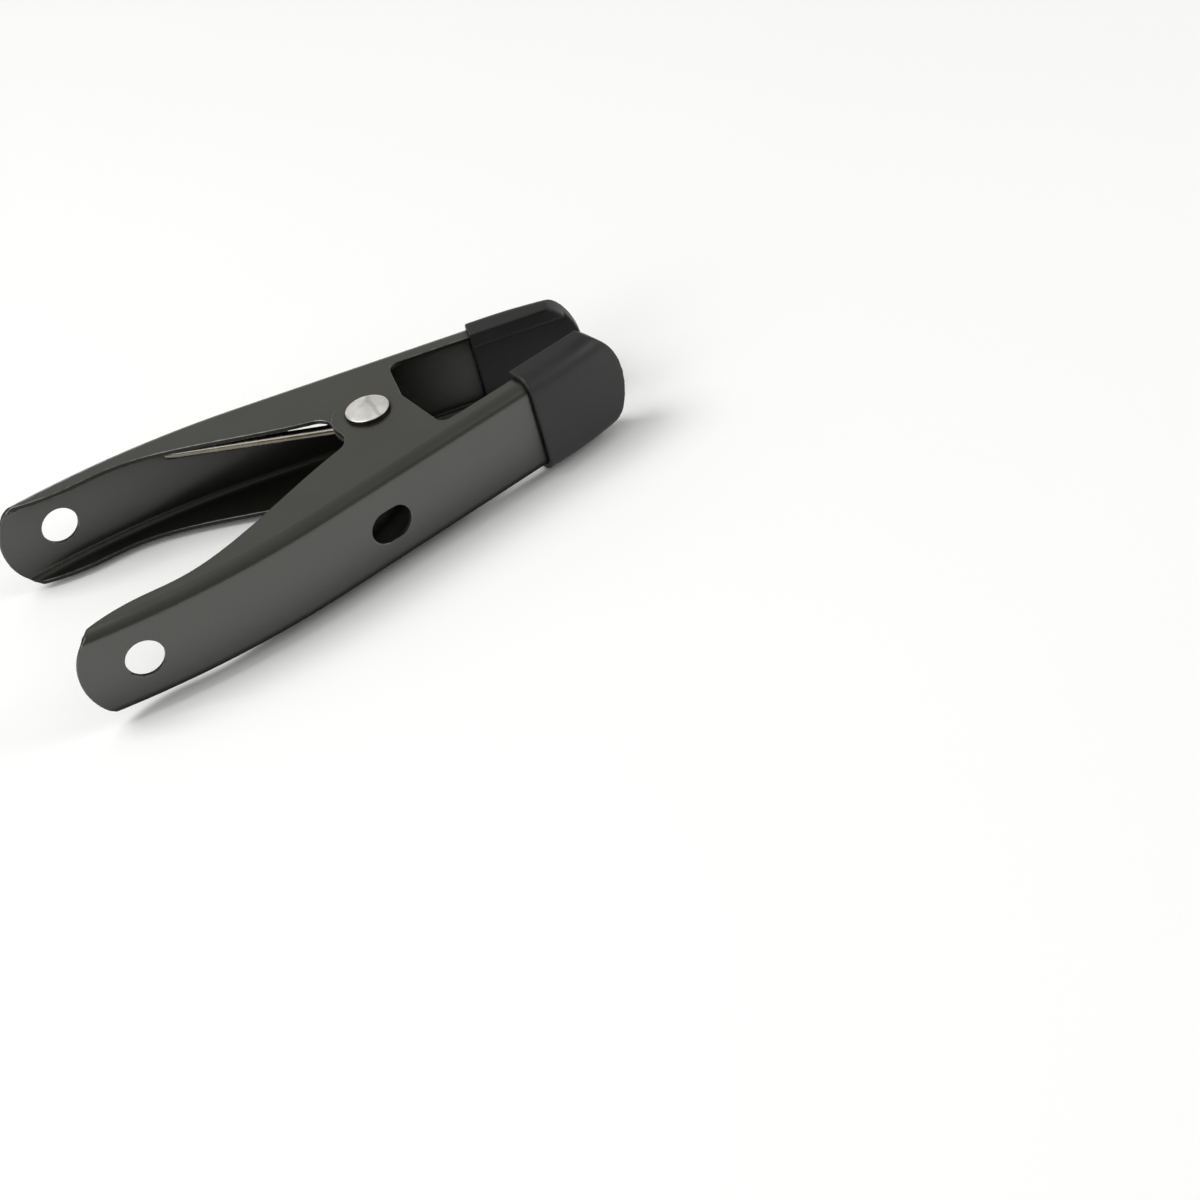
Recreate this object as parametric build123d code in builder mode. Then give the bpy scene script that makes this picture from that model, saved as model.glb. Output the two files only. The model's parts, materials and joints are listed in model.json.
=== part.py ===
from build123d import *

import os
from math import acos, asin, atan2, cos, degrees, hypot, radians, sin, sqrt

# Sheet-steel spring clamp, in millimetres.
#
# Two pressed halves of one shape, the second turned over and shifted sideways by one sheet, turn about
# a rivet. A torsion spring round the rivet pushes the handles apart and the capped jaws together.
# The clamp lies on its side: +Z runs along the rivet towards its domed head, +X towards the jaws along
# the clamp's middle, and +Y towards the upper half. The origin is the centre of the underside of the
# bounding box.
#
# Each half is drawn in its own frame: the pivot is the origin, x runs towards the jaw, y out to the
# half's web (its flat back) and z along the rivet.

# ---- driving dimensions -------------------------------------------------------------------------
sheet = 1.0                # thickness of the pressed steel
half_width = 18.5          # width of a half over its two flanges
bend_radius = 2.4          # outside radius of the bend between web and flange
web_offset = 19.3          # pivot to the outer face of the web
rest_angle = 11.4          # degrees that each half leans towards the other at the jaws, at rest

handle_length = 72.7       # pivot to the handle's tip
handle_straight = 23.0     # pivot to where the handle's web starts to curve
handle_radius = 149.0      # curve of the handle's web
jaw_length = 42.0          # pivot to the jaw's tip
jaw_straight = 26.0        # pivot to where the jaw's web starts to curve
jaw_radius = 75.0          # curve of the jaw's web
tip_round = 11.4           # radius of the handle's round end
jaw_round = 12.0           # the same at the jaw

lobe_radius = 7.0          # ear's round end about the rivet, which its rear edge runs into
ear_front = 6.4            # pivot to the ear's front edge where it meets the jaw's flange
notch_fillet = 3.8         # corner between the ear and the handle's flange
throat_fillet = 2.2        # corner between the ear and the jaw's flange
jaw_flange_depth = 4.3     # jaw's flange, from the web's outer face to its free edge
tip_flange_depth = 1.7     # handle's flange where the round end cuts it off
tip_distance = handle_length - 4.5     # pivot to where that depth is
heel_flange_depth = 3.6    # handle's flange a little in front of that
heel_distance = tip_distance - 4.7     # pivot to where that depth is
grip_flange_depth = 4.8    # handle's flange where the fingers rest
grip_front = 49.5          # pivot to the front of that stretch
grip_back = 57.0           # pivot to the back of that stretch
waist_flange_depth = 7.6   # handle's flange halfway along
waist_distance = 35.7      # pivot to where that depth is
root_flange_depth = 14.1   # handle's flange beside the ear
root_distance = 10.8       # pivot to where that depth is

handle_hole_radius = 3.6   # hanging hole in each handle
handle_hole_distance = 60.8
slot_length = 8.4          # slot in each web, end to end, along the half
slot_width = 6.4
slot_distance = 11.0       # pivot to the slot's centre, towards the handle
slot_aside = 0.7           # slot's centre off the middle of the web

rivet_radius = 2.5         # rivet's shank
rivet_fit = 0.06           # running clearance of the shank in the ears, on the radius
head_radius = 4.15         # rivet's flat domed head
head_edge = 0.8            # thickness of the head at its rim
head_rise = 0.45           # extra thickness at the head's middle
clinch_radius = 3.7        # rivet's rolled-over far end
clinch_height = 1.1
bore_radius = 1.55         # hollow in the rivet's far end
bore_depth = 5.0
side_gap = 0.3             # between ears that turn against each other
head_play = 0.1            # between the rivet's far end and the ear it turns against

wire = 1.9                 # diameter of the spring's wire
coil_clearance = 0.15      # between coil and shank, on the radius
coil_span = 9.3            # between the planes of the spring's two legs
coil_turns = 4             # whole turns, before the part turn that aims the legs
leg_reach = 38.0           # pivot to where a leg bears on the handle's web
leg_gap = 0.1              # between a leg's end and the web
bend_swell = 0.05          # how far the wire swells, on the radius, where a leg leaves the coil

cap_wall = 1.1             # dipped vinyl on every face of a jaw's end
cap_start = 22.5           # pivot to the edge of the dip

# ---- derived sizes ------------------------------------------------------------------------------
half_shift = sheet + side_gap           # sideways shift of the upper half
coil_radius = rivet_radius + coil_clearance + wire / 2
near_face = half_width / 2              # outer face of the lower half's near ear, above the middle
far_face = half_width / 2 + half_shift  # outer face of the upper half's far ear, below the middle
clinch_seat = far_face + head_play      # underside of the rivet's far end, below the middle


def web_y(distance, inset=0):
    """Height of the web's outer face above the pivot, at a distance behind it, less an inset."""
    curved = max(distance - handle_straight, 0)
    return web_offset - handle_radius + sqrt((handle_radius - inset) ** 2 - curved**2)


def jaw_web_y(distance, inset=0):
    """The same for the jaw's web, at a distance in front of the pivot."""
    curved = max(distance - jaw_straight, 0)
    return web_offset - jaw_radius + sqrt((jaw_radius - inset) ** 2 - curved**2)


def end_shape(end, grow=0):
    """Centre, length direction and outward direction of a rounded end (-1 handle, 1 jaw)."""
    if end < 0:
        distance, straight, radius = handle_length - tip_round, handle_straight, handle_radius
        height = web_y(distance)
    else:
        distance, straight, radius = jaw_length - jaw_round, jaw_straight, jaw_radius
        height = jaw_web_y(distance)
    turn = asin(max(distance - straight, 0) / radius)
    along = Vector(end * cos(turn), -sin(turn), 0)
    outward = Vector(end * sin(turn), cos(turn), 0)
    return Vector(end * distance, height, 0) + outward * grow, along, outward


def reach(end, round_radius, curve_radius, grow):
    """How far the outer corner of a rounded end lies from the pivot, along the clamp's middle."""
    centre, along, outward = end_shape(end, grow)
    length = round_radius + grow
    drop = curve_radius + grow - sqrt((curve_radius + grow) ** 2 - length**2)
    corner = centre + along * length - outward * drop
    return end * (corner.X * cos(lean) + corner.Y * sin(lean))


lean = radians(rest_angle)
back_reach = reach(-1, tip_round, handle_radius, 0)
front_reach = reach(1, jaw_round, jaw_radius, cap_wall)
pivot = Vector((back_reach - front_reach) / 2, 0, clinch_seat + clinch_height)


def half_plane(side):
    """The frame of the upper half (side 1) or the lower half (side -1)."""
    middle = pivot - Vector(0, 0, half_shift if side > 0 else 0)
    return Plane(origin=middle, x_dir=(cos(lean), -side * sin(lean), 0), z_dir=(0, 0, side))


def web_block(frame, half_thickness, inset, edge_radius):
    """Solid under the web line, moved in by inset, with its two long edges rounded."""
    floor = -2 * lobe_radius
    handle_turn = degrees(asin((handle_length - handle_straight) / handle_radius)) + 2
    jaw_turn = degrees(asin((jaw_length - jaw_straight) / jaw_radius)) + 3
    with BuildPart() as block:
        with BuildSketch(frame.offset(-half_thickness)):
            with BuildLine():
                handle_arc = CenterArc(
                    (-handle_straight, web_offset - handle_radius), handle_radius - inset, 90, handle_turn
                )
                jaw_arc = CenterArc(
                    (jaw_straight, web_offset - jaw_radius), jaw_radius - inset, 90, -jaw_turn
                )
                Line(handle_arc @ 0, jaw_arc @ 0)
                handle_foot = ((handle_arc @ 1).X, floor)
                jaw_foot = ((jaw_arc @ 1).X, floor)
                Polyline(handle_arc @ 1, handle_foot, jaw_foot, jaw_arc @ 1)
            make_face()
        extrude(amount=2 * half_thickness)
        web_edges = block.edges().filter_by(lambda edge: is_web_edge(frame, edge))
        fillet(web_edges, edge_radius)
    return block.part


def is_web_edge(frame, edge):
    """True for a long edge between the web and a side face."""
    middle = frame.to_local_coords(edge.center())
    return middle.Y > lobe_radius and edge.length > sheet and abs(middle.Z) > 1


def flange_outline():
    """Side view of a steel flange with its ear, in a half's frame."""
    top = web_offset + bend_radius
    jaw_edge = web_offset - jaw_flange_depth
    behind_tip = handle_length + sheet
    edge_points = [
        (-tip_distance, web_y(tip_distance) - tip_flange_depth),
        (-heel_distance, web_y(heel_distance) - heel_flange_depth),
        (-grip_back, web_y(grip_back) - grip_flange_depth),
        (-grip_front, web_y(grip_front) - grip_flange_depth),
        (-waist_distance, web_y(waist_distance) - waist_flange_depth),
        (-root_distance, web_y(root_distance) - root_flange_depth),
    ]
    with BuildSketch() as outline:
        with BuildLine():
            edge = Spline(*edge_points)
            run_in = Line(edge @ 1, edge @ 1 + edge % 1 * root_distance)
            Polyline(
                run_in @ 1,
                ((run_in @ 1).X, top),
                (-behind_tip, top),
                (-behind_tip, web_y(behind_tip) - tip_flange_depth),
                edge @ 0,
            )
        make_face()
        Circle(lobe_radius)
        Polygon(
            (-lobe_radius, 0), (lobe_radius, 0), (ear_front, jaw_edge), (ear_front, top), (-lobe_radius, top),
            align=None,
        )
        with Locations((0, jaw_edge)):
            Rectangle(jaw_length + 2 * cap_wall, top - jaw_edge, align=Align.MIN)
        notch = (-lobe_radius, (run_in @ (1 - lobe_radius / root_distance)).Y)
        fillet(outline.vertices().sort_by_distance(notch)[0], notch_fillet)
        throat = (ear_front, jaw_edge)
        fillet(outline.vertices().sort_by_distance(throat)[0], throat_fillet)
    return outline.sketch


def flange_trim(frame, side, outline, grow):
    """What lies beyond a flange's outline, on one side of the half, as a solid to take away."""
    corner = max(bend_radius - sheet - grow, 0.3)
    start = half_width / 2 - sheet - grow - corner
    thickness = corner + sheet + 2 * grow + bend_radius
    height = start if side > 0 else -start - thickness
    with BuildPart() as trim:
        with BuildSketch(frame.offset(height)):
            Rectangle(4 * handle_length, 4 * web_offset)
            add(outline, mode=Mode.SUBTRACT)
            if grow > 0:
                with Locations((0, web_offset - jaw_flange_depth - grow)):
                    Rectangle(2 * jaw_length, web_offset, align=Align.MIN, mode=Mode.SUBTRACT)
        extrude(amount=thickness)
    return trim.part


def end_trim(frame, end, round_radius, grow):
    """What lies beyond a rounded end, cut square to the web."""
    centre, along, outward = end_shape(end)
    with BuildPart() as trim:
        with BuildSketch(Plane(origin=centre, x_dir=along, z_dir=outward)):
            with Locations((round_radius, 0)):
                Rectangle(2 * round_radius, 2 * half_width)
            Circle(round_radius + grow, mode=Mode.SUBTRACT)
        extrude(amount=half_width / 3, both=True)
    return frame.location * trim.part


def channel(frame, grow):
    """A pressed half without its holes, or the space that it fills when each face is grown."""
    inner_radius = max(bend_radius - sheet - grow, 0.3)
    outline = flange_outline()
    with BuildPart() as shell:
        add(web_block(frame, half_width / 2 + grow, -grow, bend_radius + grow))
        hollow = web_block(frame, half_width / 2 - sheet - grow, sheet + grow, inner_radius)
        add(hollow, mode=Mode.SUBTRACT)
        for side in (-1, 1):
            add(flange_trim(frame, side, outline, grow), mode=Mode.SUBTRACT)
        add(end_trim(frame, -1, tip_round, grow), mode=Mode.SUBTRACT)
        add(end_trim(frame, 1, jaw_round, grow), mode=Mode.SUBTRACT)
        with BuildSketch(frame.offset(-half_width)):
            with Locations((-handle_length, 0)):
                overall = handle_length + jaw_length + grow
                Rectangle(overall, 4 * web_offset, align=(Align.MIN, Align.CENTER))
        extrude(amount=2 * half_width, mode=Mode.INTERSECT)
    return shell.part


def stamping(frame):
    """One pressed half with its pivot holes, slot and hanging hole."""
    hole_turn = asin((handle_hole_distance - handle_straight) / handle_radius)
    hole_out = frame.y_dir * cos(hole_turn) - frame.x_dir * sin(hole_turn)
    hole_centre = frame.from_local_coords((-handle_hole_distance, web_y(handle_hole_distance), 0))
    slot_centre = frame.from_local_coords((-slot_distance, web_offset, slot_aside))
    with BuildPart() as half:
        add(channel(frame, 0))
        with BuildSketch(frame):
            Circle(rivet_radius + rivet_fit)
        extrude(amount=half_width, both=True, mode=Mode.SUBTRACT)
        with BuildSketch(Plane(origin=slot_centre, x_dir=frame.x_dir, z_dir=frame.y_dir)):
            SlotOverall(slot_length, slot_width)
        extrude(amount=2 * sheet, both=True, mode=Mode.SUBTRACT)
        with BuildSketch(Plane(origin=hole_centre, z_dir=hole_out)):
            Circle(handle_hole_radius)
        extrude(amount=2 * sheet, both=True, mode=Mode.SUBTRACT)
    return half.part


def jaw_cap(frame, half):
    """The dipped coat round a jaw's end, open towards the pivot, with the steel half taken out."""
    with BuildPart() as cap:
        add(channel(frame, cap_wall))
        with BuildSketch(frame.offset(-half_width)):
            with Locations((cap_start, 0)):
                Rectangle(jaw_length, 4 * web_offset, align=(Align.MIN, Align.CENTER))
        extrude(amount=2 * half_width, mode=Mode.INTERSECT)
        add(half, mode=Mode.SUBTRACT)
    return cap.part


def leg_angle(side):
    """Direction from the rivet to where a leg leaves the coil, in degrees in the clamp's frame."""
    bearing = web_y(leg_reach, sheet) - leg_gap - wire / 2
    aim = degrees(atan2(bearing, -leg_reach))
    off_line = degrees(acos(coil_radius / hypot(leg_reach, bearing)))
    return side * (aim - off_line - rest_angle)


def leg_ends(side, frame):
    """The two ends of a leg's centre line: on the coil, and at its bearing point on the handle's web."""
    middle = pivot.Z + (side * coil_span - half_shift) / 2
    turn = radians(leg_angle(side))
    root = Vector(pivot.X + coil_radius * cos(turn), coil_radius * sin(turn), middle)
    bearing = web_y(leg_reach, sheet) - leg_gap - wire / 2
    tip = frame.from_local_coords((-leg_reach, bearing, 0))
    return root, Vector(tip.X, tip.Y, middle)


upper_frame = half_plane(1)
lower_frame = half_plane(-1)

# ---- pressed halves -----------------------------------------------------------------------------
with BuildPart() as lower_half:
    add(stamping(lower_frame))
lower_half.part.label = "lower_half"

with BuildPart() as upper_half:
    add(stamping(upper_frame))
upper_half.part.label = "upper_half"

# ---- dipped jaw caps ----------------------------------------------------------------------------
with BuildPart() as lower_jaw_cap:
    add(jaw_cap(lower_frame, lower_half.part))
lower_jaw_cap.part.label = "lower_jaw_cap"

with BuildPart() as upper_jaw_cap:
    add(jaw_cap(upper_frame, upper_half.part))
upper_jaw_cap.part.label = "upper_jaw_cap"

# ---- pivot rivet: domed head on the lower half's near ear, rolled end past the upper half's far ear
rivet_plane = Plane(origin=pivot, x_dir=(1, 0, 0), z_dir=(0, -1, 0))
head_rim = near_face + head_edge
roll_radius = clinch_height / 2
with BuildPart() as pivot_rivet:
    with BuildSketch(rivet_plane):
        with BuildLine():
            crown = TangentArc((0, head_rim + head_rise), (head_radius, head_rim), tangent=(1, 0))
            roll = ThreePointArc(
                (clinch_radius - roll_radius, -clinch_seat - clinch_height),
                (clinch_radius, -clinch_seat - roll_radius),
                (clinch_radius - roll_radius, -clinch_seat),
            )
            Polyline(
                roll @ 1,
                (rivet_radius, -clinch_seat),
                (rivet_radius, near_face),
                (head_radius, near_face),
                crown @ 1,
            )
            Polyline(crown @ 0, (0, -clinch_seat - clinch_height), roll @ 0)
        make_face()
    revolve(axis=Axis(pivot, (0, 0, 1)))
    with BuildSketch(Plane(origin=(pivot.X, 0, 0))):
        Circle(bore_radius)
    extrude(amount=bore_depth, mode=Mode.SUBTRACT)
pivot_rivet.part.label = "pivot_rivet"

# ---- torsion spring: coil round the rivet, one leg along each handle's web -----------------------
coil_turn = 360 * coil_turns + leg_angle(1) - leg_angle(-1)
with BuildPart() as coil:
    with BuildLine() as coil_line:
        Helix(pitch=coil_span * 360 / coil_turn, height=coil_span, radius=coil_radius)
    with BuildSketch(Plane(origin=coil_line.line @ 0, z_dir=coil_line.line % 0)):
        Circle(wire / 2)
    sweep(path=coil_line.line, is_frenet=True)

with BuildPart() as torsion_spring:
    with Locations(Plane(origin=(pivot.X, 0, leg_ends(-1, lower_frame)[0].Z))):
        add(coil.part, rotation=(0, 0, leg_angle(-1)))
    for side, frame in ((1, upper_frame), (-1, lower_frame)):
        root, tip = leg_ends(side, frame)
        with Locations(Plane(origin=root, z_dir=tip - root)):
            Sphere(wire / 2 + bend_swell)
        with BuildSketch(Plane(origin=root, z_dir=tip - root)):
            Circle(wire / 2)
        extrude(amount=(tip - root).length)
torsion_spring.part.label = "torsion_spring"

# ---- one file for each piece --------------------------------------------------------------------
os.makedirs("parts", exist_ok=True)
export_step(lower_half.part, "parts/lower_half.step")
export_step(upper_half.part, "parts/upper_half.step")
export_step(lower_jaw_cap.part, "parts/lower_jaw_cap.step")
export_step(upper_jaw_cap.part, "parts/upper_jaw_cap.step")
export_step(pivot_rivet.part, "parts/pivot_rivet.step")
export_step(torsion_spring.part, "parts/torsion_spring.step")
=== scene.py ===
import json
import math

import bmesh
import bpy
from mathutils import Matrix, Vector


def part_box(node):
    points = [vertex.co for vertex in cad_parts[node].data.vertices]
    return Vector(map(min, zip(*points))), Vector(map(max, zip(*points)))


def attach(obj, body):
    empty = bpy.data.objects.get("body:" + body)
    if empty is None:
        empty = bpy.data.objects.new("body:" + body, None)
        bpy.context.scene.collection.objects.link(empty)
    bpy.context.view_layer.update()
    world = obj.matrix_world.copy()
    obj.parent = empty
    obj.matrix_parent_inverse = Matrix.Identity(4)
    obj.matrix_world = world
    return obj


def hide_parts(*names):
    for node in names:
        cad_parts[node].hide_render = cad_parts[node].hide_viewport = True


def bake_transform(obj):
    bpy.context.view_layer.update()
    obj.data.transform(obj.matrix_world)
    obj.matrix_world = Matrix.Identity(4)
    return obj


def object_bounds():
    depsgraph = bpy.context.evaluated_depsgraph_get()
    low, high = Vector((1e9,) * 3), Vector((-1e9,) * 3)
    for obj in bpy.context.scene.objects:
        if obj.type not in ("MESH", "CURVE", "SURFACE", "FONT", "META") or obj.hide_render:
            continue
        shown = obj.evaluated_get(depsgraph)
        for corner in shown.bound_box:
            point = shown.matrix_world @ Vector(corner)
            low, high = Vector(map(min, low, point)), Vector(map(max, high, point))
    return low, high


# Sheet-steel spring clamp: black satin paint, plated rivet, spring wire and dipped jaw ends.
# Metres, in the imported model's frame: +X to the jaws, +Y to the upper half, +Z along the rivet to its head.

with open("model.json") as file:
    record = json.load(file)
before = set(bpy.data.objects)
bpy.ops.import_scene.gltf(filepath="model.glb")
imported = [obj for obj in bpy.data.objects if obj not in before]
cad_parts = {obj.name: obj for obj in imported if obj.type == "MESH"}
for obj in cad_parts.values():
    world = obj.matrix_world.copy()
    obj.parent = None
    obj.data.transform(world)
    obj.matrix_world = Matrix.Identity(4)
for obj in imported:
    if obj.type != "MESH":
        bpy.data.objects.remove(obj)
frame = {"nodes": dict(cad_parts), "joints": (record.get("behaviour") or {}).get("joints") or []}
cad_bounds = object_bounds()

MM = 0.001
hinge = next(j for j in frame["joints"] if j["name"] == "pivot_hinge")
PIVOT = Vector(hinge["pos_m"])

# ---- pressed halves, in millimetres -------------------------------------------------------------
SHEET = 1.0
BEND_OUTSIDE = 2.4          # outside radius of the bends between web and flanges
SHELL_BEVEL = 0.17          # rounding of the cut edges
SHELL_SHARP = 58            # degrees between two faces that make a cut edge
SAME_CORNER = 0.002         # corners of the solid's mesh nearer than this are one corner
SLIVER = 0.0005             # edges shorter than this go after the rounding
WEB_LEAST_Y = 1.0           # a web's faces lie farther than this from the rivet's middle plane
WEB_LEVEL = 0.001           # most that a web face's normal leans towards the rivet's axis
WEB_OUTWARD = 0.85          # least share of a web face's normal that points away from the other half
ON_SHEET = 0.86             # least agreement of a face with the sheet's own normal
AGREEING = 0.8              # least agreement of faces that are shaded as one
CUT_EDGE = "cut_edge"       # face value: how much painted shade and duller paint the sheet's cut edges get
CUT_SHADE_AND_DULLNESS = 0.75
WORN_AND_HIGHLIGHT_EDGE = "worn_and_highlight_edge"     # face value: 1 on the rounding of a cut edge, which gets worn paint and a painted highlight

# ---- rivet, in millimetres ------------------------------------------------------------------------
SHANK_RADIUS = 2.5
HEAD_RADIUS = 4.15
HEAD_EDGE = 0.8
HEAD_RISE = 0.45
HEAD_ROUND = 0.22
CROWN_START = 88            # degrees: the crown's first ring round its middle point
CROWN_STOP = 3.2            # degrees between the crown's last ring and its rim
CLINCH_RADIUS = 3.7
CLINCH_HEIGHT = 1.1
BORE_RADIUS = 1.55
BORE_DEPTH = 5.0
RIVET_SEGMENTS = 96
CROWN_STEPS = 12
ROUND_STEPS = 5             # on each rounding of the head's edge
ROLL_STEPS = 10             # on the outside of the rolled end
ROLL_INNER_STEPS = 6
rivet_low, rivet_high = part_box("pivot_rivet")
HEAD_SEAT = (rivet_high.z - PIVOT.z) / MM - HEAD_EDGE - HEAD_RISE    # head's underside, above the pivot
CLINCH_SEAT = (PIVOT.z - rivet_low.z) / MM - CLINCH_HEIGHT           # rolled end's top, below the pivot

# ---- torsion spring, in millimetres ---------------------------------------------------------------
WIRE_RADIUS = 0.95
WIRE_END_ROUND = 0.15
WIRE_SIDES = 28
COIL_RADIUS = 3.6           # to the wire's middle
COIL_WHOLE_TURNS = 4
COIL_TURN_STEPS = 40        # points on each turn
LEG_ANGLE = 60.13           # where a leg leaves the coil, in degrees from +X towards its handle
LEG_LENGTH = 41.27
LEG_STEPS = 14
COIL_TURN = 360 * COIL_WHOLE_TURNS + 2 * LEG_ANGLE
spring_low, spring_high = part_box("torsion_spring")
COIL_MIDDLE = Vector((PIVOT.x, 0, (spring_low.z + spring_high.z) / 2))
LEG_SIDE = (spring_high.z - spring_low.z) / MM / 2 - WIRE_RADIUS     # a leg's plane, from the coil's middle

# ---- dipped jaw ends, in millimetres --------------------------------------------------------------
CAP_VOXEL = 0.22
CAP_SMOOTHING = 0.5
CAP_SMOOTH_STEPS = 12

# ---- colours, dark and light ends of each ---------------------------------------------------------
PAINT = (0.0125, 0.0128, 0.0080), (0.0165, 0.0169, 0.0110)
PAINT_DUST = (0.06, 0.06, 0.057)
# lighter edge colour: partly worn paint, partly a painted highlight on the rounded cut edges
PAINT_WORN_AND_HIGHLIGHT = (0.08, 0.079, 0.073)
PAINT_SHADE = (0.003, 0.003, 0.003)      # painted shade in hollows and on cut edges
PLATING = (0.76, 0.745, 0.715), (0.92, 0.905, 0.87)
PLATING_SCUFF = (0.45, 0.44, 0.42)
RIVET_SIDE_SHADE = (0.035, 0.034, 0.032)      # painted shade on the sides of the head and of the rolled end
WIRE = (0.19, 0.175, 0.145), (0.27, 0.25, 0.21)
VINYL = (0.010, 0.010, 0.0105), (0.016, 0.016, 0.0165)
FLOOR = (0.95, 0.95, 0.95), (0.97, 0.97, 0.97)
SKY_COLOUR = (1.0, 0.992, 0.955, 1)

# ---- noise patterns, as (cycles per metre, detail) ------------------------------------------------
PAINT_CLOUD = (90, 3)
PAINT_PEEL = (1500, 2)
PAINT_GRAIN = (5200, 2)
PAINT_SPECKS = (2600, 1)
PAINT_CHIPS = (700, 4)
PLATING_CLOUD = (420, 4)
PLATING_PITS = (2400, 3)
WIRE_CLOUD = (300, 3)
WIRE_DRAWING = (3800, 2)
VINYL_CLOUD = (110, 3)
VINYL_SKIN = (2100, 3)
FLOOR_CLOUD = (6, 2)

# ---- bands of values, as (low, high) --------------------------------------------------------------
WHOLE = (0, 1)
WHOLE_REVERSED = (1, 0)
SOFT_BAND = (0.3, 0.7)          # of a noise, for a slow change
FIRM_BAND = (0.35, 0.65)        # of a noise, for a quicker change
SPECK_BAND = (0.74, 0.80)
SPECK_STRENGTH = (0, 0.35)
CHIP_BAND = (0.4, 0.6)
CHIP_STRENGTH = (0.25, 1)
HOLLOW_BAND = (0.45, 0.84)      # occlusion deep in a channel and in the open
HOLLOW_REACH = 0.018
HOLLOW_SAMPLES = 8
SCUFF_BAND = (0.9, 1.0)
SCUFF_STRENGTH = (0, 0.55)
LEVEL_BAND = (0.5, 0.8)         # how level a face is, from the rivet's sides to its ends
PAINT_ROUGHNESS = (0.32, 0.40)
DULL_ROUGHNESS = (0, 0.85)
PLATING_ROUGHNESS = (0.26, 0.42)
WIRE_ROUGHNESS = (0.2, 0.3)
VINYL_ROUGHNESS = (0.46, 0.58)

# ---- light and camera -----------------------------------------------------------------------------
FLOOR_HALF = 1.6
FLOOR_GAP = 0.02                # millimetres under the part
SKY_BRIGHT = (-0.15, 0.6, 0.75)      # direction of the soft light's brightest part
SKY_BAND = (-0.6, 0.9)
SKY_STRENGTH = (0.22, 0.44)
SOFTBOXES = {                   # place in metres, side in metres, power in watts
    "key": ((-0.55, 0.15, 1.0), 0.7, 8.0),
    "fill": ((-0.9, -0.5, 0.6), 0.6, 3.0),
    "side": ((0.9, -0.4, 0.5), 0.5, 3.0),
}
SENSOR_WIDTH = 36.0
LENS = 90.1
CLIP_START = 0.01
CLIP_END = 20.0
CAMERA_OFFSET = (-98.101, -448.760, 306.096)     # millimetres from the pivot
CAMERA_ANGLES = (51.24, 12.867, -26.304)         # degrees


# ---- mesh helpers ---------------------------------------------------------------------------------
def new_object(name, bm):
    """A smooth-shaded object made from a bmesh."""
    mesh = bpy.data.meshes.new(name)
    bmesh.ops.recalc_face_normals(bm, faces=bm.faces)
    bm.to_mesh(mesh)
    bm.free()
    mesh.polygons.foreach_set("use_smooth", [True] * len(mesh.polygons))
    piece = bpy.data.objects.new(name, mesh)
    bpy.context.scene.collection.objects.link(piece)
    return piece


def bake_modifiers(piece):
    """Puts the result of a piece's modifiers into its mesh."""
    bpy.context.view_layer.update()
    evaluated = piece.evaluated_get(bpy.context.evaluated_depsgraph_get())
    finished = bpy.data.meshes.new_from_object(evaluated)
    piece.modifiers.clear()
    piece.data = finished


def ring_of_turns(count):
    """Angles of count even steps round a circle."""
    return [2 * math.pi * i / count for i in range(count)]


def lathe(name, profile, segments):
    """A closed solid turned about the rivet's axis from (radius, height) points in millimetres."""
    bm = bmesh.new()
    rings = []
    for radius, height in profile:
        if radius == 0:
            rings.append([bm.verts.new(PIVOT + Vector((0, 0, height)) * MM)])
            continue
        ring = []
        for turn in ring_of_turns(segments):
            point = Vector((radius * math.cos(turn), radius * math.sin(turn), height))
            ring.append(bm.verts.new(PIVOT + point * MM))
        rings.append(ring)
    for low, high in zip(rings, rings[1:]):
        for i in range(segments):
            j = (i + 1) % segments
            corners = [low[i % len(low)], low[j % len(low)], high[j % len(high)], high[i % len(high)]]
            bm.faces.new(list(dict.fromkeys(corners)))
    return new_object(name, bm)


def arc(centre, radius, start, stop, steps):
    """Points (radius, height) on an arc, angles in degrees."""
    points = []
    for i in range(steps + 1):
        turn = math.radians(start + (stop - start) * i / steps)
        points.append((centre[0] + radius * math.cos(turn), centre[1] + radius * math.sin(turn)))
    return points


def tube(name, path, radius, sides, end_round):
    """A round wire along a path, its ends finished with a small bevel."""
    bm = bmesh.new()
    tangents = []
    for i in range(len(path)):
        before = path[max(i - 1, 0)]
        after = path[min(i + 1, len(path) - 1)]
        tangents.append((after - before).normalized())
    normal = tangents[0].orthogonal().normalized()
    stations = [(path[0], tangents[0], radius - end_round)]
    stations.append((path[0] + tangents[0] * end_round, tangents[0], radius))
    for point, tangent in zip(path[1:-1], tangents[1:-1]):
        stations.append((point, tangent, radius))
    stations.append((path[-1] - tangents[-1] * end_round, tangents[-1], radius))
    stations.append((path[-1], tangents[-1], radius - end_round))
    rings = []
    for point, tangent, ring_radius in stations:
        normal = (normal - tangent * normal.dot(tangent)).normalized()
        side = tangent.cross(normal)
        ring = []
        for turn in ring_of_turns(sides):
            offset = (normal * math.cos(turn) + side * math.sin(turn)) * ring_radius
            ring.append(bm.verts.new(point + offset))
        rings.append(ring)
    for low, high in zip(rings, rings[1:]):
        for i in range(sides):
            j = (i + 1) % sides
            bm.faces.new([low[i], low[j], high[j], high[i]])
    bm.faces.new(rings[0])
    bm.faces.new(rings[-1])
    return new_object(name, bm)


# ---- material helpers -----------------------------------------------------------------------------
def material(build):
    """A node material named after build, which gets the tree's add and link functions and the shader."""
    made = bpy.data.materials.new(build.__name__)
    made.use_nodes = True
    tree = made.node_tree
    shader = tree.nodes["Principled BSDF"]

    def add(kind, **settings):
        node = tree.nodes.new(kind)
        for key, value in settings.items():
            if hasattr(node, key):
                setattr(node, key, value)
            else:
                node.inputs[key.replace("_", " ").title()].default_value = value
        return node

    build(add, tree.links.new, shader)
    return made


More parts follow.
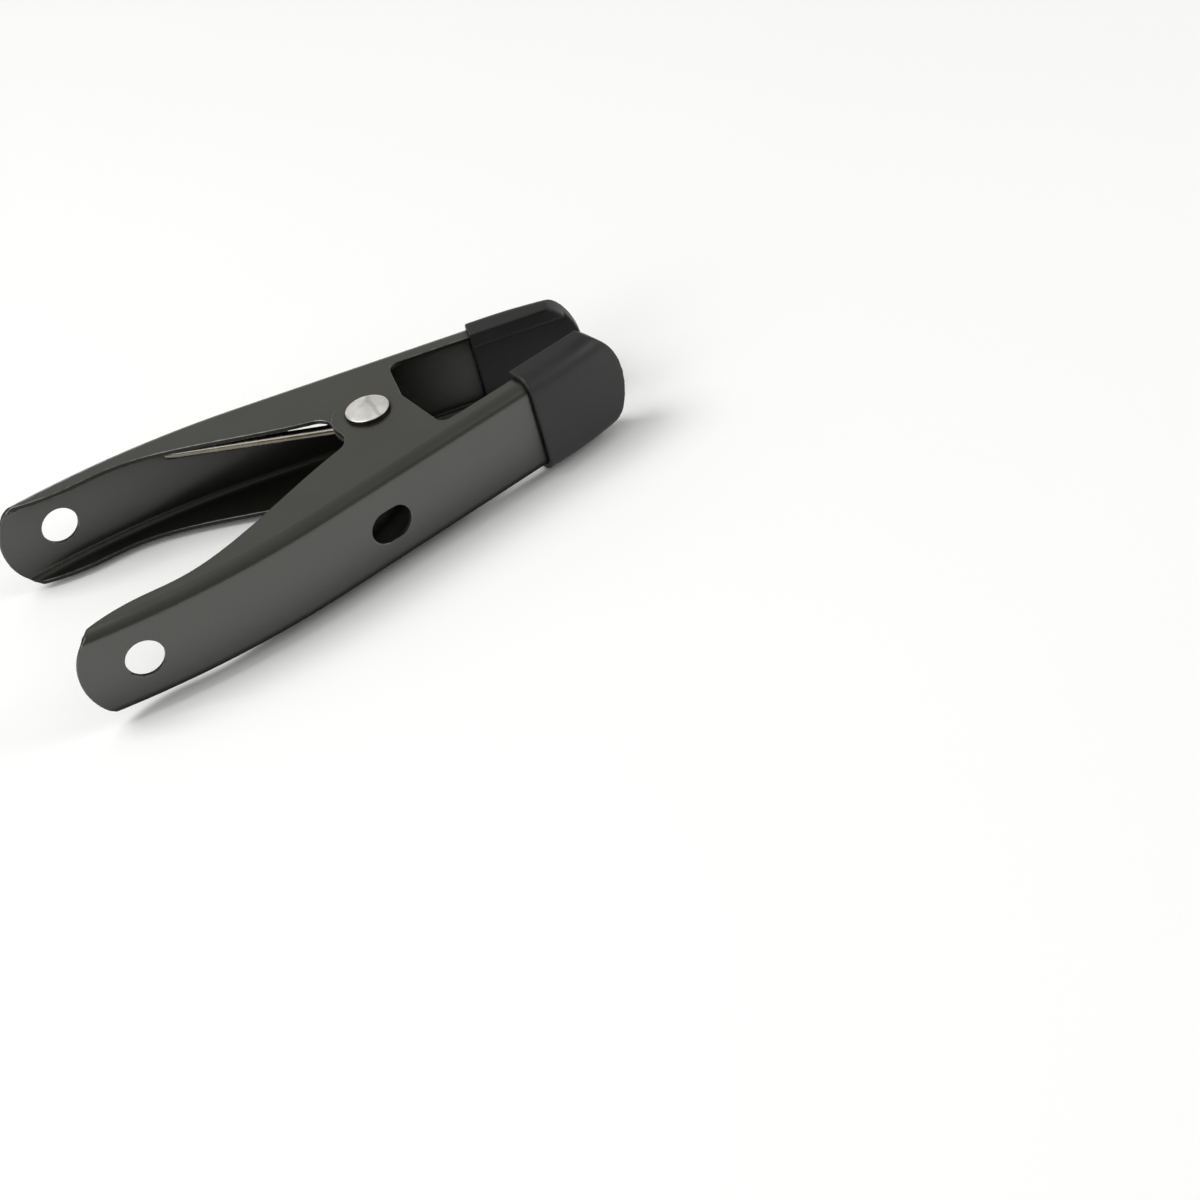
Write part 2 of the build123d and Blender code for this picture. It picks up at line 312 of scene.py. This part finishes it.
def noise(add, link, coords, pattern):
    """A noise texture in object space, from a pattern of (cycles per metre, detail)."""
    scale, detail = pattern
    node = add("ShaderNodeTexNoise", scale=scale, detail=detail)
    link(coords, node.inputs["Vector"])
    return node.outputs["Fac"]


def span(add, link, value, band, target):
    """Maps a value from one band to another, clamped."""
    node = add("ShaderNodeMapRange")
    node.inputs["From Min"].default_value = band[0]
    node.inputs["From Max"].default_value = band[1]
    node.inputs["To Min"].default_value = target[0]
    node.inputs["To Max"].default_value = target[1]
    link(value, node.inputs["Value"])
    return node.outputs["Result"]


def math_node(add, link, operation, *values):
    """The result of one operation on linked values."""
    node = add("ShaderNodeMath", operation=operation)
    for value, socket in zip(values, node.inputs):
        link(value, socket)
    return node.outputs["Value"]


def mix_colour(add, link, factor, first, second):
    """A colour between two colours, by a factor."""
    node = add("ShaderNodeMix", data_type="RGBA")
    colour_inputs = [i for i in node.inputs if i.type == "RGBA"]
    for socket, value in zip(colour_inputs, (first, second)):
        if hasattr(value, "is_output"):
            link(value, socket)
        else:
            socket.default_value = (*value, 1.0)
    link(factor, node.inputs[0])
    return next(o for o in node.outputs if o.type == "RGBA")


def bumps(add, link, heights):
    """Bump nodes in a chain; heights are (height, distance in metres, strength)."""
    normal = None
    for height, distance, strength in heights:
        node = add("ShaderNodeBump", distance=distance, strength=strength)
        link(height, node.inputs["Height"])
        if normal is not None:
            link(normal, node.inputs["Normal"])
        normal = node.outputs["Normal"]
    return normal


def hollow_mask(add, link):
    """1 deep inside a channel, 0 in the open; it places painted shade."""
    occlusion = add("ShaderNodeAmbientOcclusion", samples=HOLLOW_SAMPLES)
    occlusion.inputs["Distance"].default_value = HOLLOW_REACH
    return span(add, link, occlusion.outputs["AO"], HOLLOW_BAND, WHOLE_REVERSED)


def painted_steel(add, link, shader):
    coords = add("ShaderNodeTexCoord").outputs["Object"]
    hollow = hollow_mask(add, link)
    cloud = noise(add, link, coords, PAINT_CLOUD)
    peel = noise(add, link, coords, PAINT_PEEL)
    grain = noise(add, link, coords, PAINT_GRAIN)
    specks = noise(add, link, coords, PAINT_SPECKS)
    edges = add("ShaderNodeAttribute", attribute_name=WORN_AND_HIGHLIGHT_EDGE).outputs["Fac"]
    chips = span(add, link, noise(add, link, coords, PAINT_CHIPS), CHIP_BAND, CHIP_STRENGTH)
    # Rounded cut edges turn lighter in chips: partly worn paint, partly a painted highlight.
    wear_and_highlight = math_node(add, link, "MULTIPLY", edges, chips)
    paint = mix_colour(add, link, span(add, link, cloud, SOFT_BAND, WHOLE), *PAINT)
    dust = span(add, link, specks, SPECK_BAND, SPECK_STRENGTH)
    dusty = mix_colour(add, link, dust, paint, PAINT_DUST)
    worn_and_highlit = mix_colour(add, link, wear_and_highlight, dusty, PAINT_WORN_AND_HIGHLIGHT)
    # Painted shade: in hollows and on cut edges the colour goes near black; there the paint also gets rougher
    # and loses its coat.
    cut = add("ShaderNodeAttribute", attribute_name=CUT_EDGE).outputs["Fac"]
    shade_and_dullness = math_node(add, link, "MAXIMUM", hollow, cut)
    link(mix_colour(add, link, shade_and_dullness, worn_and_highlit, PAINT_SHADE), shader.inputs["Base Color"])
    gloss = span(add, link, cloud, SOFT_BAND, PAINT_ROUGHNESS)
    rough = math_node(add, link, "MAXIMUM", gloss, span(add, link, shade_and_dullness, WHOLE, DULL_ROUGHNESS))
    link(rough, shader.inputs["Roughness"])
    shader.inputs["Specular IOR Level"].default_value = 0.2
    shader.inputs["Coat IOR"].default_value = 1.7
    shader.inputs["Coat Roughness"].default_value = 0.24
    link(span(add, link, shade_and_dullness, WHOLE, WHOLE_REVERSED), shader.inputs["Coat Weight"])
    link(bumps(add, link, [(peel, 0.00003, 0.18), (grain, 0.00001, 0.12)]), shader.inputs["Normal"])


def rivet_steel(add, link, shader):
    coords = add("ShaderNodeTexCoord").outputs["Object"]
    cloud = noise(add, link, coords, PLATING_CLOUD)
    pits = noise(add, link, coords, PLATING_PITS)
    scuffs = add("ShaderNodeTexWave", scale=60.0, distortion=7.0, detail=3.0)
    link(coords, scuffs.inputs["Vector"])
    scuff = span(add, link, scuffs.outputs["Fac"], SCUFF_BAND, SCUFF_STRENGTH)
    colour = mix_colour(add, link, span(add, link, cloud, FIRM_BAND, WHOLE), *PLATING)
    plated = mix_colour(add, link, scuff, colour, PLATING_SCUFF)
    # Painted shade: the sides of the head and of the rolled end go dark, while the level faces keep the
    # plating.
    facing = add("ShaderNodeSeparateXYZ")
    link(add("ShaderNodeNewGeometry").outputs["Normal"], facing.inputs[0])
    level = math_node(add, link, "ABSOLUTE", facing.outputs["Z"])
    face = span(add, link, level, LEVEL_BAND, WHOLE)
    link(mix_colour(add, link, face, RIVET_SIDE_SHADE, plated), shader.inputs["Base Color"])
    shader.inputs["Metallic"].default_value = 0.65
    link(span(add, link, cloud, SOFT_BAND, PLATING_ROUGHNESS), shader.inputs["Roughness"])
    link(bumps(add, link, [(pits, 0.00002, 0.2), (scuff, 0.00001, 0.3)]), shader.inputs["Normal"])


def spring_steel(add, link, shader):
    coords = add("ShaderNodeTexCoord").outputs["Object"]
    cloud = noise(add, link, coords, WIRE_CLOUD)
    drawing = noise(add, link, coords, WIRE_DRAWING)
    wire = mix_colour(add, link, span(add, link, cloud, FIRM_BAND, WHOLE), *WIRE)
    link(wire, shader.inputs["Base Color"])
    shader.inputs["Metallic"].default_value = 1.0
    link(span(add, link, cloud, SOFT_BAND, WIRE_ROUGHNESS), shader.inputs["Roughness"])
    link(bumps(add, link, [(drawing, 0.00001, 0.2)]), shader.inputs["Normal"])


def dipped_vinyl(add, link, shader):
    coords = add("ShaderNodeTexCoord").outputs["Object"]
    cloud = noise(add, link, coords, VINYL_CLOUD)
    skin = noise(add, link, coords, VINYL_SKIN)
    colour = mix_colour(add, link, span(add, link, cloud, SOFT_BAND, WHOLE), *VINYL)
    link(colour, shader.inputs["Base Color"])
    link(span(add, link, cloud, SOFT_BAND, VINYL_ROUGHNESS), shader.inputs["Roughness"])
    shader.inputs["Specular IOR Level"].default_value = 0.45
    link(bumps(add, link, [(cloud, 0.0002, 0.25), (skin, 0.00003, 0.3)]), shader.inputs["Normal"])


def pale_floor(add, link, shader):
    coords = add("ShaderNodeTexCoord").outputs["Object"]
    colour = mix_colour(add, link, noise(add, link, coords, FLOOR_CLOUD), *FLOOR)
    link(colour, shader.inputs["Base Color"])
    shader.inputs["Roughness"].default_value = 0.9
    shader.inputs["Specular IOR Level"].default_value = 0.2


SLOT_BUILDERS = (painted_steel, rivet_steel, spring_steel, dipped_vinyl)
MATERIALS = {build.__name__: material(build) for build in SLOT_BUILDERS}


def dress(piece, slot):
    """Gives a piece the material named after its slot."""
    piece.data.materials.clear()
    piece.data.materials.append(MATERIALS[slot])


# ---- pressed halves: the solids' shape, with their cut edges rounded ------------------------------
def web_angles(node):
    """The web's side of the part, and where its outside face points in plan, as (x, angle) in order."""
    mesh = node.data
    side = 1 if sum(vertex.co.y for vertex in mesh.vertices) > 0 else -1
    found = {}
    for loop, corner in zip(mesh.loops, mesh.corner_normals):
        point = mesh.vertices[loop.vertex_index].co
        normal = corner.vector
        outward = abs(normal.z) < WEB_LEVEL and normal.y * side > WEB_OUTWARD
        if outward and abs(point.y) > WEB_LEAST_Y * MM:
            found.setdefault(round(point.x / MM, 1), []).append(math.atan2(normal.x, normal.y * side))
    table = [(x * MM, sorted(angles)[len(angles) // 2]) for x, angles in sorted(found.items())]
    return side, table


def sheet_normal(point, outside, side, table, half_height, middle):
    """The pressed sheet's own normal at a point: flat web, rolled bend or flat flange."""
    lower = max((row for row in table if row[0] <= point.x), default=table[0])
    upper = min((row for row in table if row[0] >= point.x), default=table[-1])
    share = 0
    if upper is not lower:
        share = (point.x - lower[0]) / (upper[0] - lower[0])
    angle = lower[1] + (upper[1] - lower[1]) * share
    radius = BEND_OUTSIDE if outside else BEND_OUTSIDE - SHEET
    rise = (abs(point.z - middle) - half_height) / MM + BEND_OUTSIDE
    climb = math.asin(min(max(rise / radius, 0), 1))
    flat = Vector((math.sin(angle), math.cos(angle) * side, 0)) * math.cos(climb)
    return flat + Vector((0, 0, math.copysign(math.sin(climb), point.z - middle)))


def rounded_shell(name, node):
    """A copy of a node's shape with its cut edges rounded and its sheet faces shaded evenly."""
    side, table = web_angles(node)
    heights = [vertex.co.z for vertex in node.data.vertices]
    half_height = (max(heights) - min(heights)) / 2
    middle = (max(heights) + min(heights)) / 2
    bm = bmesh.new()
    bm.from_mesh(node.data)
    bmesh.ops.remove_doubles(bm, verts=bm.verts, dist=SAME_CORNER * MM)
    bmesh.ops.dissolve_degenerate(bm, edges=bm.edges, dist=SAME_CORNER * MM)
    turn = math.radians(SHELL_SHARP)
    sharp = [edge for edge in bm.edges if edge.is_manifold and edge.calc_face_angle() > turn]
    rounded = bmesh.ops.bevel(bm, geom=sharp, offset=SHELL_BEVEL * MM, offset_type="OFFSET", segments=1,
                              profile=0.5, affect="EDGES", clamp_overlap=False, loop_slide=True)
    bmesh.ops.dissolve_degenerate(bm, edges=bm.edges, dist=SLIVER * MM)
    bmesh.ops.recalc_face_normals(bm, faces=bm.faces)
    rounds = {face for face in rounded["faces"] if face.is_valid}

    def own_normal(face, vertex):
        """The sheet normal that fits a face at one of its corners, or nothing on a cut edge."""
        best = None
        for outside in (True, False):
            smooth = sheet_normal(vertex.co, outside, side, table, half_height, middle)
            agreement = face.normal.dot(smooth)
            if abs(agreement) > ON_SHEET and (agreement > 0) == outside:
                best = smooth if outside else -smooth
        return best

    def shaded_normal(face, vertex):
        """The sheet's own normal at a corner, or else the mean of the faces there that agree."""
        owners = [face]
        if face in rounds:
            owners = [other for other in vertex.link_faces if other not in rounds]
        for owner in owners:
            normal = own_normal(owner, vertex)
            if normal is not None:
                return normal.normalized()
        normal = Vector()
        for other in vertex.link_faces:
            if other.normal.dot(face.normal) > AGREEING:
                normal += other.normal * other.calc_area()
        return normal.normalized()

    normals = []
    cut_shade_and_dullness = []
    worn_and_highlit = []
    for face in bm.faces:
        on_sheet = face in rounds or any(own_normal(face, vertex) is not None for vertex in face.verts)
        # Faces off the sheet are cut edges: they get painted shade and duller paint.
        cut_shade_and_dullness.append(0.0 if on_sheet else CUT_SHADE_AND_DULLNESS)
        worn_and_highlit.append(1.0 if face in rounds else 0.0)
        normals += [shaded_normal(face, vertex) for vertex in face.verts]
    shell = new_object(name, bm)
    shell.data.normals_split_custom_set(normals)
    shell.data.attributes.new(CUT_EDGE, "FLOAT", "FACE").data.foreach_set("value", cut_shade_and_dullness)
    shell.data.attributes.new(WORN_AND_HIGHLIGHT_EDGE, "FLOAT", "FACE").data.foreach_set("value", worn_and_highlit)
    return shell


for body in ("lower", "upper"):
    shell = rounded_shell(body + "_shell", frame["nodes"][body + "_half"])
    dress(shell, "painted_steel")
    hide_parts(body + "_half")
    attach(shell, body)

# ---- rivet ----------------------------------------------------------------------------------------
crown_radius = (HEAD_RADIUS**2 + HEAD_RISE**2) / (2 * HEAD_RISE)
crown_centre = (0, HEAD_SEAT + HEAD_EDGE + HEAD_RISE - crown_radius)
crown_edge = math.degrees(math.acos(HEAD_RADIUS / crown_radius))
round_radius = HEAD_RADIUS - HEAD_ROUND
roll = CLINCH_HEIGHT / 2
roll_height = -CLINCH_SEAT - roll
bore_floor = BORE_DEPTH - CLINCH_SEAT - CLINCH_HEIGHT
profile = [(0, crown_centre[1] + crown_radius)]
profile += arc(crown_centre, crown_radius, CROWN_START, crown_edge + CROWN_STOP, CROWN_STEPS)
profile += arc((round_radius, HEAD_SEAT + HEAD_EDGE - HEAD_ROUND), HEAD_ROUND, crown_edge, 0, ROUND_STEPS)
profile += arc((round_radius, HEAD_SEAT + HEAD_ROUND), HEAD_ROUND, 0, -90, ROUND_STEPS)
profile += [(SHANK_RADIUS, HEAD_SEAT), (SHANK_RADIUS, -CLINCH_SEAT)]
profile += arc((CLINCH_RADIUS - roll, roll_height), roll, 90, -90, ROLL_STEPS)
profile += arc((BORE_RADIUS + roll, roll_height), roll, -90, -180, ROLL_INNER_STEPS)
profile += [(BORE_RADIUS, bore_floor), (0, bore_floor)]
rivet = lathe("rivet", profile, RIVET_SEGMENTS)
dress(rivet, "rivet_steel")
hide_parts("pivot_rivet")
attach(rivet, "lower")


# ---- torsion spring -------------------------------------------------------------------------------
def leg_points(side):
    """Leg from its tip to where it meets the coil; side 1 bears on the upper handle."""
    turn = math.radians(side * LEG_ANGLE)
    root = Vector((COIL_RADIUS * math.cos(turn), COIL_RADIUS * math.sin(turn), side * LEG_SIDE))
    outward = Vector((-math.sin(turn) * side, math.cos(turn) * side, 0))
    return [root + outward * LEG_LENGTH * (1 - i / LEG_STEPS) for i in range(LEG_STEPS)]


def coil_points():
    """The coil from the lower leg to the upper."""
    points = []
    steps = round(COIL_TURN / 360 * COIL_TURN_STEPS)
    for i in range(steps + 1):
        share = i / steps
        turn = math.radians(-LEG_ANGLE + COIL_TURN * share)
        height = -LEG_SIDE + 2 * LEG_SIDE * share
        points.append(Vector((COIL_RADIUS * math.cos(turn), COIL_RADIUS * math.sin(turn), height)))
    return points


route = leg_points(-1) + coil_points() + leg_points(1)[::-1]
path = [COIL_MIDDLE + point * MM for point in route]
spring = tube("spring", path, WIRE_RADIUS * MM, WIRE_SIDES, WIRE_END_ROUND * MM)
dress(spring, "spring_steel")
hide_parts("torsion_spring")
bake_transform(spring)

# ---- dipped jaw ends ------------------------------------------------------------------------------
for body in ("lower", "upper"):
    node = frame["nodes"][body + "_jaw_cap"]
    cap = bpy.data.objects.new(body + "_dip", node.data.copy())
    bpy.context.scene.collection.objects.link(cap)
    remesh = cap.modifiers.new("remesh", "REMESH")
    remesh.mode = "VOXEL"
    remesh.voxel_size = CAP_VOXEL * MM
    remesh.use_smooth_shade = True
    smooth = cap.modifiers.new("smooth", "SMOOTH")
    smooth.factor = CAP_SMOOTHING
    smooth.iterations = CAP_SMOOTH_STEPS
    bake_modifiers(cap)
    dress(cap, "dipped_vinyl")
    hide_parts(body + "_jaw_cap")
    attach(cap, body)

# ---- floor, light and camera ----------------------------------------------------------------------
bm = bmesh.new()
bmesh.ops.create_grid(bm, x_segments=2, y_segments=2, size=FLOOR_HALF)
floor = new_object("floor", bm)
floor.location = (PIVOT.x, 0, cad_bounds[0][2] - FLOOR_GAP * MM)
floor.data.materials.append(material(pale_floor))

world = bpy.data.worlds.new("studio")
world.use_nodes = True
tree = world.node_tree
backdrop = tree.nodes["Background"]
direction = tree.nodes.new("ShaderNodeTexCoord").outputs["Generated"]
towards = tree.nodes.new("ShaderNodeVectorMath")
towards.operation = "DOT_PRODUCT"
towards.inputs[1].default_value = Vector(SKY_BRIGHT).normalized()
tree.links.new(direction, towards.inputs[0])
sky = tree.nodes.new("ShaderNodeMapRange")
sky.interpolation_type = "SMOOTHSTEP"
sky.inputs["From Min"].default_value = SKY_BAND[0]
sky.inputs["From Max"].default_value = SKY_BAND[1]
sky.inputs["To Min"].default_value = SKY_STRENGTH[0]
sky.inputs["To Max"].default_value = SKY_STRENGTH[1]
tree.links.new(towards.outputs["Value"], sky.inputs["Value"])
tree.links.new(sky.outputs["Result"], backdrop.inputs["Strength"])
backdrop.inputs["Color"].default_value = SKY_COLOUR
bpy.context.scene.world = world

for name, (place, size, power) in SOFTBOXES.items():
    lamp = bpy.data.lights.new(name, "AREA")
    lamp.shape = "RECTANGLE"
    lamp.size = size
    lamp.size_y = size
    lamp.energy = power
    holder = bpy.data.objects.new(name, lamp)
    holder.location = place
    holder.rotation_euler = (PIVOT - Vector(place)).to_track_quat("-Z", "Y").to_euler()
    bpy.context.scene.collection.objects.link(holder)

camera_data = bpy.data.cameras.new("camera")
camera_data.sensor_width = SENSOR_WIDTH
camera_data.lens = LENS
camera_data.clip_start = CLIP_START
camera_data.clip_end = CLIP_END
camera = bpy.data.objects.new("camera", camera_data)
camera.location = PIVOT + Vector(CAMERA_OFFSET) * MM
camera.rotation_euler = [math.radians(angle) for angle in CAMERA_ANGLES]
bpy.context.scene.collection.objects.link(camera)
bpy.context.scene.camera = camera
bpy.context.scene.view_settings.view_transform = "Standard"
